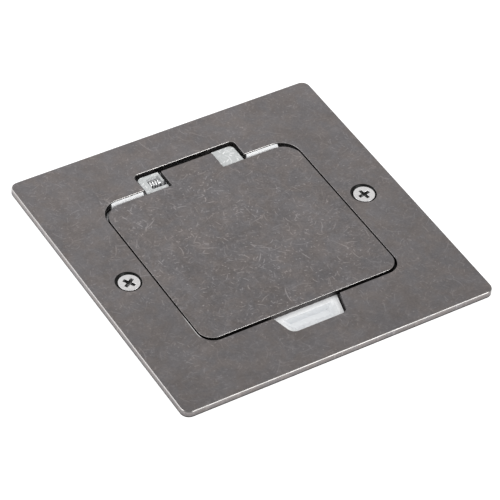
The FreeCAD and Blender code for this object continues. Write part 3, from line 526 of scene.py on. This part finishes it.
def moulding(name, tone, rough, carrier=False):
    """Moulded plastic with faint flow marks and streaks. The carrier's has scraped, dulled lugs and painted
    shade in its finger dish too.
    """
    shader = Shader(name)
    flow = shader.noise(9.0, roughness=0.5, distortion=0.5)
    skin = shader.noise(0.35, detail=2.0, roughness=0.5)
    scuff = strokes(shader, cell=4.0, length=3.8, width=0.30, share=0.5, seed=11.0)
    shade = shader.mix(shader.ramp(flow, 0.35, 0.65, 0.0, 0.5), colour(*tone), darker(tone, 0.95))
    shade = shader.mix(shader.multiply(scuff, 0.5), shade, darker(tone, 0.84))
    if carrier:
        shade = dish_painted_shade(shader, scraped_lugs(shader, shade))
    roughness = shader.ramp(skin, NOISE_LOW, NOISE_HIGH, rough * 0.85, rough * 1.15)
    shader.set(Base_Color=shade, Roughness=roughness)
    shader.set(Subsurface_Weight=0.12, Subsurface_Radius=(1.0, 1.0, 1.0), Subsurface_Scale=0.8 * MM)
    shader.set(Normal=shader.bump(skin, 0.15, 0.012))
    return shader.material


def black_foam():
    shader = Shader("black_foam")
    cells = shader.noise(0.5, roughness=0.7)
    shader.set(Base_Color=shader.mix(shader.ramp(cells, 0.35, 0.65), grey(0.018), grey(0.040)), Roughness=0.9)
    shader.set(Normal=shader.bump(cells, 0.6, 0.08))
    return shader.material


def black_rubber():
    shader = Shader("black_rubber")
    bloom = shader.noise(2.5, detail=4.0)
    skin = shader.noise(0.25, detail=2.0, roughness=0.5)
    shader.set(Base_Color=shader.mix(shader.ramp(bloom, 0.35, NOISE_HIGH), grey(0.018), grey(0.035)))
    shader.set(Roughness=shader.ramp(bloom, NOISE_LOW, NOISE_HIGH, 0.5, 0.7))
    shader.set(Normal=shader.bump(skin, 0.2, 0.01))
    return shader.material


MATERIALS = {
    "plate_metal": pewter(),
    "nickel_screw": screw_nickel(),
    "zinc_steel": plain_metal("zinc_steel", (0.70, 0.71, 0.72), 0.30, 0.4),
    "spring_steel": plain_metal("spring_steel", (0.86, 0.86, 0.86), 0.24, 0.25, grain_depth=0.1),
    "galvanised_steel": galvanised(),
    "contact_brass": plain_metal("contact_brass", (0.80, 0.62, 0.30), 0.28, 0.4),
    "white_moulding": moulding("white_moulding", (0.93, 0.94, 0.95), 0.36, carrier=True),
    "grey_moulding": moulding("grey_moulding", (0.74, 0.74, 0.72), 0.45),
    "shutter_moulding": moulding("shutter_moulding", (0.60, 0.61, 0.62), 0.40),
    "gasket_foam": black_foam(),
    "grommet_rubber": black_rubber(),
}


def put_material(piece, slot):
    piece.data.materials.clear()
    piece.data.materials.append(MATERIALS[slot])


# How wide the rounding of each node's edges is, in millimetres. The gasket and the springs have none.
EDGE_WIDTHS = {
    "cover_plate": 0.05, "lid_plate": 0.06, "carrier_frame": 0.12, "plate_screws": 0.12,
    "socket_front": 0.20, "socket_back": 0.20, "shutter": 0.12, "lid_hinge_leaf": 0.10, "lid_studs": 0.08,
    "hinge_pin": 0.10, "case_screws": 0.08, "back_box": 0.12, "box_lugs": 0.10, "cable_grommet": 0.15,
    "box_earth_terminal": 0.12, "live_contact": 0.06, "neutral_contact": 0.06, "earth_contact": 0.06,
    "terminal_screws": 0.06, "earth_terminal_screw": 0.06,
}
EDGE_SEGMENTS = 3
ROUNDED_ABOVE = math.radians(30.0)
SHARP_ABOVE = math.radians(35)
FLAT_BELOW = math.radians(0.5)
SAME_POINT = 1e-3


def tighten_front_corners(work, radius, centre_x, centre_y):
    """Give the two front corners a smaller radius, with the straight edges where they were."""
    for vert in work.verts:
        side = math.copysign(1.0, vert.co.x)
        u = (vert.co.x * side / MM - centre_x) / radius
        v = (centre_y - vert.co.y / MM) / radius
        on_arc = min(u, v) > -0.01 and 0.9 < math.hypot(u, v) < 1.1
        if on_arc:
            vert.co.x += side * CORNER_TIGHTER_BY * (1 - u) * MM
            vert.co.y -= CORNER_TIGHTER_BY * (1 - v) * MM


def round_edges(work, width):
    """Merge the facets of each flat face, and round over every edge that is sharp enough."""
    bmesh.ops.remove_doubles(work, verts=work.verts, dist=SAME_POINT * MM)
    bmesh.ops.dissolve_limit(work, angle_limit=FLAT_BELOW, verts=work.verts, edges=work.edges)
    work.normal_update()
    edges = [edge for edge in work.edges if edge.is_manifold and edge.calc_face_angle(0.0) > ROUNDED_ABOVE]
    bmesh.ops.bevel(
        work, geom=edges, offset=width * MM, offset_type="OFFSET", segments=EDGE_SEGMENTS, profile=0.5,
        affect="EDGES", clamp_overlap=False, harden_normals=False, miter_outer="SHARP", miter_inner="SHARP",
    )


def dress(node, width):
    """A copy of a CAD node with its sharp edges rounded over, standing for the node."""
    mesh = cad_nodes[node].data.copy()
    mesh.name = node + "_dressed"
    work = bmesh.new()
    work.from_mesh(mesh)
    round_edges(work, width)
    if node in FRONT_CORNERS:
        tighten_front_corners(work, *FRONT_CORNERS[node])
    bmesh.ops.triangulate(work, faces=[face for face in work.faces if len(face.verts) > 4])
    work.to_mesh(mesh)
    work.free()
    mesh.polygons.foreach_set("use_smooth", [True] * len(mesh.polygons))
    mesh.set_sharp_from_angle(angle=SHARP_ABOVE)
    piece = bpy.data.objects.new(node + "_dressed", mesh)
    bpy.context.collection.objects.link(piece)
    even = piece.modifiers.new("even", "WEIGHTED_NORMAL")
    even.keep_sharp = True
    put_material(piece, slot_of[node])
    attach(piece, body_of[node])
    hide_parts(node)


def wire(name, path, radius, slot, roundness=3):
    """A round wire along a path given in millimetres."""
    curve = bpy.data.curves.new(name, "CURVE")
    curve.dimensions = "3D"
    curve.bevel_depth = radius * MM
    curve.bevel_resolution = roundness
    curve.use_fill_caps = True
    line = curve.splines.new("POLY")
    line.points.add(len(path) - 1)
    for spot, place in zip(line.points, path):
        spot.co = [value * MM for value in place] + [1.0]
    holder = bpy.data.objects.new(name, curve)
    mesh = bpy.data.meshes.new_from_object(holder)
    mesh.name = name
    bpy.data.objects.remove(holder)
    mesh.polygons.foreach_set("use_smooth", [True] * len(mesh.polygons))
    piece = bpy.data.objects.new(name, mesh)
    bpy.context.collection.objects.link(piece)
    put_material(piece, slot)
    return piece


def rounded_path(corners, radius, steps=5):
    """The corners with each inner one replaced by a bend of this radius or less."""
    corners = [Vector(corner) for corner in corners]
    path = [corners[0]]
    for before, here, after in zip(corners, corners[1:], corners[2:]):
        reach = min(radius, (before - here).length / 2, (after - here).length / 2)
        start = here + (before - here).normalized() * reach
        end = here + (after - here).normalized() * reach
        for step in range(steps + 1):
            t = step / steps
            path.append(start * (1 - t) ** 2 + here * (2 * t * (1 - t)) + end * t ** 2)
    return path + [corners[-1]]


def closing_spring():
    """The lid's torsion spring: its foot lies in the lug, and its arm reaches along the lid."""
    low, high = [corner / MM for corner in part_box("torsion_spring")]
    pin_y, pin_z, coil_radius, half_wire = 40.0, -0.5, 1.4, 0.3
    left, right = low.x + half_wire, -12.05
    turns, steps = 3.844, 100
    arm_y, arm_z, arm_bend = 37.2, -0.3, 0.6
    slimmer = 0.97
    foot = (left, pin_y - coil_radius, low.z)
    coil = []
    for step in range(steps + 1):
        share = step / steps
        angle = math.pi - 2 * math.pi * turns * share
        y, z = pin_y + coil_radius * math.cos(angle), pin_z + coil_radius * math.sin(angle)
        coil.append((left + (right - left) * share, y, z))
    arm = rounded_path([coil[-1], (right, arm_y, arm_z), (high.x, arm_y, arm_z)], arm_bend)
    piece = wire("closing_spring", [foot] + coil + arm[1:], half_wire * slimmer, "spring_steel")
    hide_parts("torsion_spring")
    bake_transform(piece)


def return_spring():
    """The shutter's compression spring, between the stop and the shutter, with closer turns at its ends."""
    low, high = [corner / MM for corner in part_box("shutter_spring")]
    half_wire = 0.2
    centre_x, centre_z = (low.x + high.x) / 2, (low.z + high.z) / 2
    radius = (high.x - low.x) / 2 - half_wire
    front, back = low.y + half_wire, high.y - half_wire
    turns, steps = 7, 168
    closer_ends = 0.11
    path = []
    for step in range(steps + 1):
        share = step / steps
        angle = 2 * math.pi * turns * share
        along = share - closer_ends * math.sin(2 * math.pi * share)
        x, z = centre_x + radius * math.cos(angle), centre_z + radius * math.sin(angle)
        path.append((x, front + (back - front) * along, z))
    piece = wire("return_spring", path, half_wire, "spring_steel", roundness=2)
    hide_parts("shutter_spring")
    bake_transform(piece)


# Lights and the floor
FLOOR_HALF = 1.5
FLOOR_GLOW = 0.62
FLOOR_BELOW = 0.02 * MM
CUT_OUT_HALF = 53.0 * MM
WHITE = grey(1.0)


def make_floor():
    """A pale floor with a square cut-out for the sunk box.

    It glows to the camera and in reflections, so that it shows white, but its glow lights nothing.
    """
    corners = ((-1, -1), (1, -1), (1, 1), (-1, 1))
    points = [(x * half, y * half, 0) for half in (FLOOR_HALF, CUT_OUT_HALF) for x, y in corners]
    faces = [(i, (i + 1) % 4, 4 + (i + 1) % 4, 4 + i) for i in range(4)]
    mesh = bpy.data.meshes.new("floor")
    mesh.from_pydata(points, [], faces)
    floor = bpy.data.objects.new("floor", mesh)
    floor.location.z = -FLOOR_BELOW
    bpy.context.collection.objects.link(floor)
    shader = Shader("floor")
    shader.set(Base_Color=grey(0.80), Roughness=0.9)
    glow = shader.node("Emission", Color=WHITE, Strength=FLOOR_GLOW)
    both = shader.node("AddShader")
    shader.tree.links.new(shader.surface.outputs[0], both.inputs[0])
    shader.tree.links.new(glow.outputs[0], both.inputs[1])
    path = shader.node("LightPath").outputs
    seen = shader.add(path["Is Camera Ray"], path["Is Glossy Ray"])
    seen = shader.math("ADD", seen, path["Is Transmission Ray"], clamp=True)
    choose = shader.node("MixShader", Fac=seen)
    shader.tree.links.new(shader.surface.outputs[0], choose.inputs[1])
    shader.tree.links.new(both.outputs[0], choose.inputs[2])
    shader.tree.links.new(choose.outputs[0], shader.output.inputs["Surface"])
    mesh.materials.append(shader.material)


# How bright the studio is: to the camera, to metal at the horizon and overhead, and to everything else
CAMERA_LIGHT = 1.0
HORIZON_LIGHT = 1.0
OVERHEAD_LIGHT = 0.85
PLAIN_LIGHT = 0.55

# The heights, as a share of straight up, between which the studio turns greyer
FALL_FROM = 0.35
FALL_TO = 0.95


def make_world():
    """White to the camera. Metal sees a studio that is white at the horizon and greyer overhead."""
    world = bpy.data.worlds.new("studio")
    bpy.context.scene.world = world
    world.use_nodes = True
    background = world.node_tree.nodes["Background"]
    nodes, links = world.node_tree.nodes, world.node_tree.links
    height = nodes.new("ShaderNodeSeparateXYZ")
    links.new(nodes.new("ShaderNodeTexCoord").outputs["Generated"], height.inputs[0])
    fall = nodes.new("ShaderNodeMapRange")
    fall.interpolation_type = "SMOOTHSTEP"
    limits = {"From Min": FALL_FROM, "From Max": FALL_TO, "To Min": HORIZON_LIGHT, "To Max": OVERHEAD_LIGHT}
    for name, value in limits.items():
        fall.inputs[name].default_value = value
    links.new(height.outputs["Z"], fall.inputs["Value"])
    path = nodes.new("ShaderNodeLightPath")
    first, second = MIX_VALUES_IN
    glossy = nodes.new("ShaderNodeMix")
    glossy.data_type = "FLOAT"
    glossy.inputs[first].default_value = PLAIN_LIGHT
    links.new(path.outputs["Is Glossy Ray"], glossy.inputs[0])
    links.new(fall.outputs["Result"], glossy.inputs[second])
    camera = nodes.new("ShaderNodeMix")
    camera.data_type = "FLOAT"
    camera.inputs[second].default_value = CAMERA_LIGHT
    links.new(path.outputs["Is Camera Ray"], camera.inputs[0])
    links.new(glossy.outputs[MIX_VALUE_OUT], camera.inputs[first])
    links.new(camera.outputs[MIX_VALUE_OUT], background.inputs["Strength"])
    background.inputs["Color"].default_value = WHITE


def make_lamp(name, place, size, power):
    """A square lamp that points at the part. Its place and size are in metres and its power in watts."""
    data = bpy.data.lights.new(name, "AREA")
    data.size = size
    data.energy = power
    lamp = bpy.data.objects.new(name, data)
    lamp.location = place
    lamp.rotation_mode = "QUATERNION"
    lamp.rotation_quaternion = (-Vector(place)).to_track_quat("-Z", "Y")
    bpy.context.collection.objects.link(lamp)


make_camera()
make_floor()
make_world()
make_lamp("key", place=(-0.9, 0.5, 1.1), size=0.8, power=7.0)
make_lamp("front", place=(0.61, -1.04, 0.89), size=0.6, power=9.0)

for name, item in cad_nodes.items():
    put_material(item, slot_of[name])

for name, width in EDGE_WIDTHS.items():
    dress(name, width)
closing_spring()
return_spring()

bpy.context.scene.view_settings.view_transform = "Standard"
